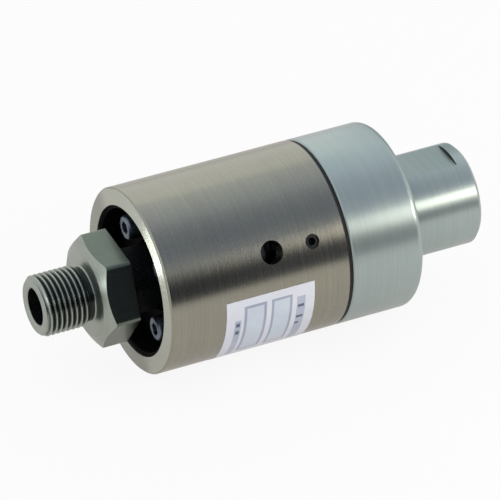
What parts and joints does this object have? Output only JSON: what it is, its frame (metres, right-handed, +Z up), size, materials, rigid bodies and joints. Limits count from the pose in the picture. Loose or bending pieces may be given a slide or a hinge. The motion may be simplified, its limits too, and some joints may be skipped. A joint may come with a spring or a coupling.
{
  "type": "hydraulic rotary union",
  "caption": "Straight single-passage hydraulic rotary union: male threaded hex rotor turning on ball bearings in a round sleeve, with a screwed end cap and female threaded port.",
  "frame": {"origin": "centre of the supply port's mouth, on the end face of the hub", "axes": "+X along the rotor's axis, out of the supply port; the threaded nipple points along -X; +Z up, square to the hub's spanner flats"},
  "size_m": [0.1578, 0.064, 0.064],
  "materials": {
    "sleeve_steel": "turned and brushed steel, warm grey",
    "cap_steel": "turned steel, bright zinc plate",
    "black_steel": "black oxide, oiled",
    "carrier_steel": "plain turned steel",
    "screw_steel": "zinc plated steel",
    "rubber": "moulded nitrile rubber",
    "ptfe": "machined PTFE",
    "hardened_steel": "ground and lapped steel",
    "spring_steel": "drawn spring steel",
    "bearing_steel": "ground and honed bearing steel",
    "rotor_steel": "turned steel, zinc plate",
    "nylon": "moulded nylon",
    "carbon": "lapped carbon graphite"
  },
  "bodies": {
    "housing": {"housing_sleeve": "sleeve_steel", "end_cap": "cap_steel", "front_cover": "black_steel", "bearing_carrier": "carrier_steel", "cover_screws": "screw_steel", "locking_grub_screw": "screw_steel", "joint_gasket": "rubber", "carrier_o_ring": "rubber", "floating_o_ring": "rubber", "backup_ring": "ptfe", "shaft_wiper": "rubber", "anti_rotation_pins": "hardened_steel", "thrust_spring": "spring_steel", "bearing_circlip": "spring_steel", "front_bearing_outer_ring": "bearing_steel", "rear_bearing_outer_ring": "bearing_steel"},
    "rotor": {"rotor_shaft": "rotor_steel", "front_bearing_inner_ring": "bearing_steel", "rear_bearing_inner_ring": "bearing_steel", "lock_washer": "carrier_steel", "lock_nut": "carrier_steel", "rotating_seal_seat": "hardened_steel", "seat_o_ring": "rubber", "seat_drive_pins": "hardened_steel"},
    "front_ball_set": {"front_bearing_balls": "bearing_steel", "front_bearing_cage": "nylon"},
    "rear_ball_set": {"rear_bearing_balls": "bearing_steel", "rear_bearing_cage": "nylon"},
    "floating_seal": {"floating_seal_carrier": "hardened_steel", "carbon_seal_face": "carbon"}
  },
  "joints": [
    {"name": "rotor_spin", "type": "hinge", "parent": "housing", "child": "rotor", "pos_m": [-0.0945, 0, 0], "axis": [1, 0, 0], "continuous": true},
    {"name": "front_ball_orbit", "type": "hinge", "parent": "housing", "child": "front_ball_set", "pos_m": [-0.099, 0, 0], "axis": [1, 0, 0], "continuous": true},
    {"name": "rear_ball_orbit", "type": "hinge", "parent": "housing", "child": "rear_ball_set", "pos_m": [-0.09, 0, 0], "axis": [1, 0, 0], "continuous": true},
    {"name": "seal_float", "type": "slide", "parent": "housing", "child": "floating_seal", "axis": [1, 0, 0], "range_m": [0, 0.002], "stiffness_N_per_m": 2500, "springref_m": -0.006, "deforming": ["thrust_spring"]}
  ],
  "couplings": [
    {"joint": "front_ball_orbit", "follows": "rotor_spin", "ratio": 0.4165},
    {"joint": "rear_ball_orbit", "follows": "rotor_spin", "ratio": 0.4165}
  ]
}
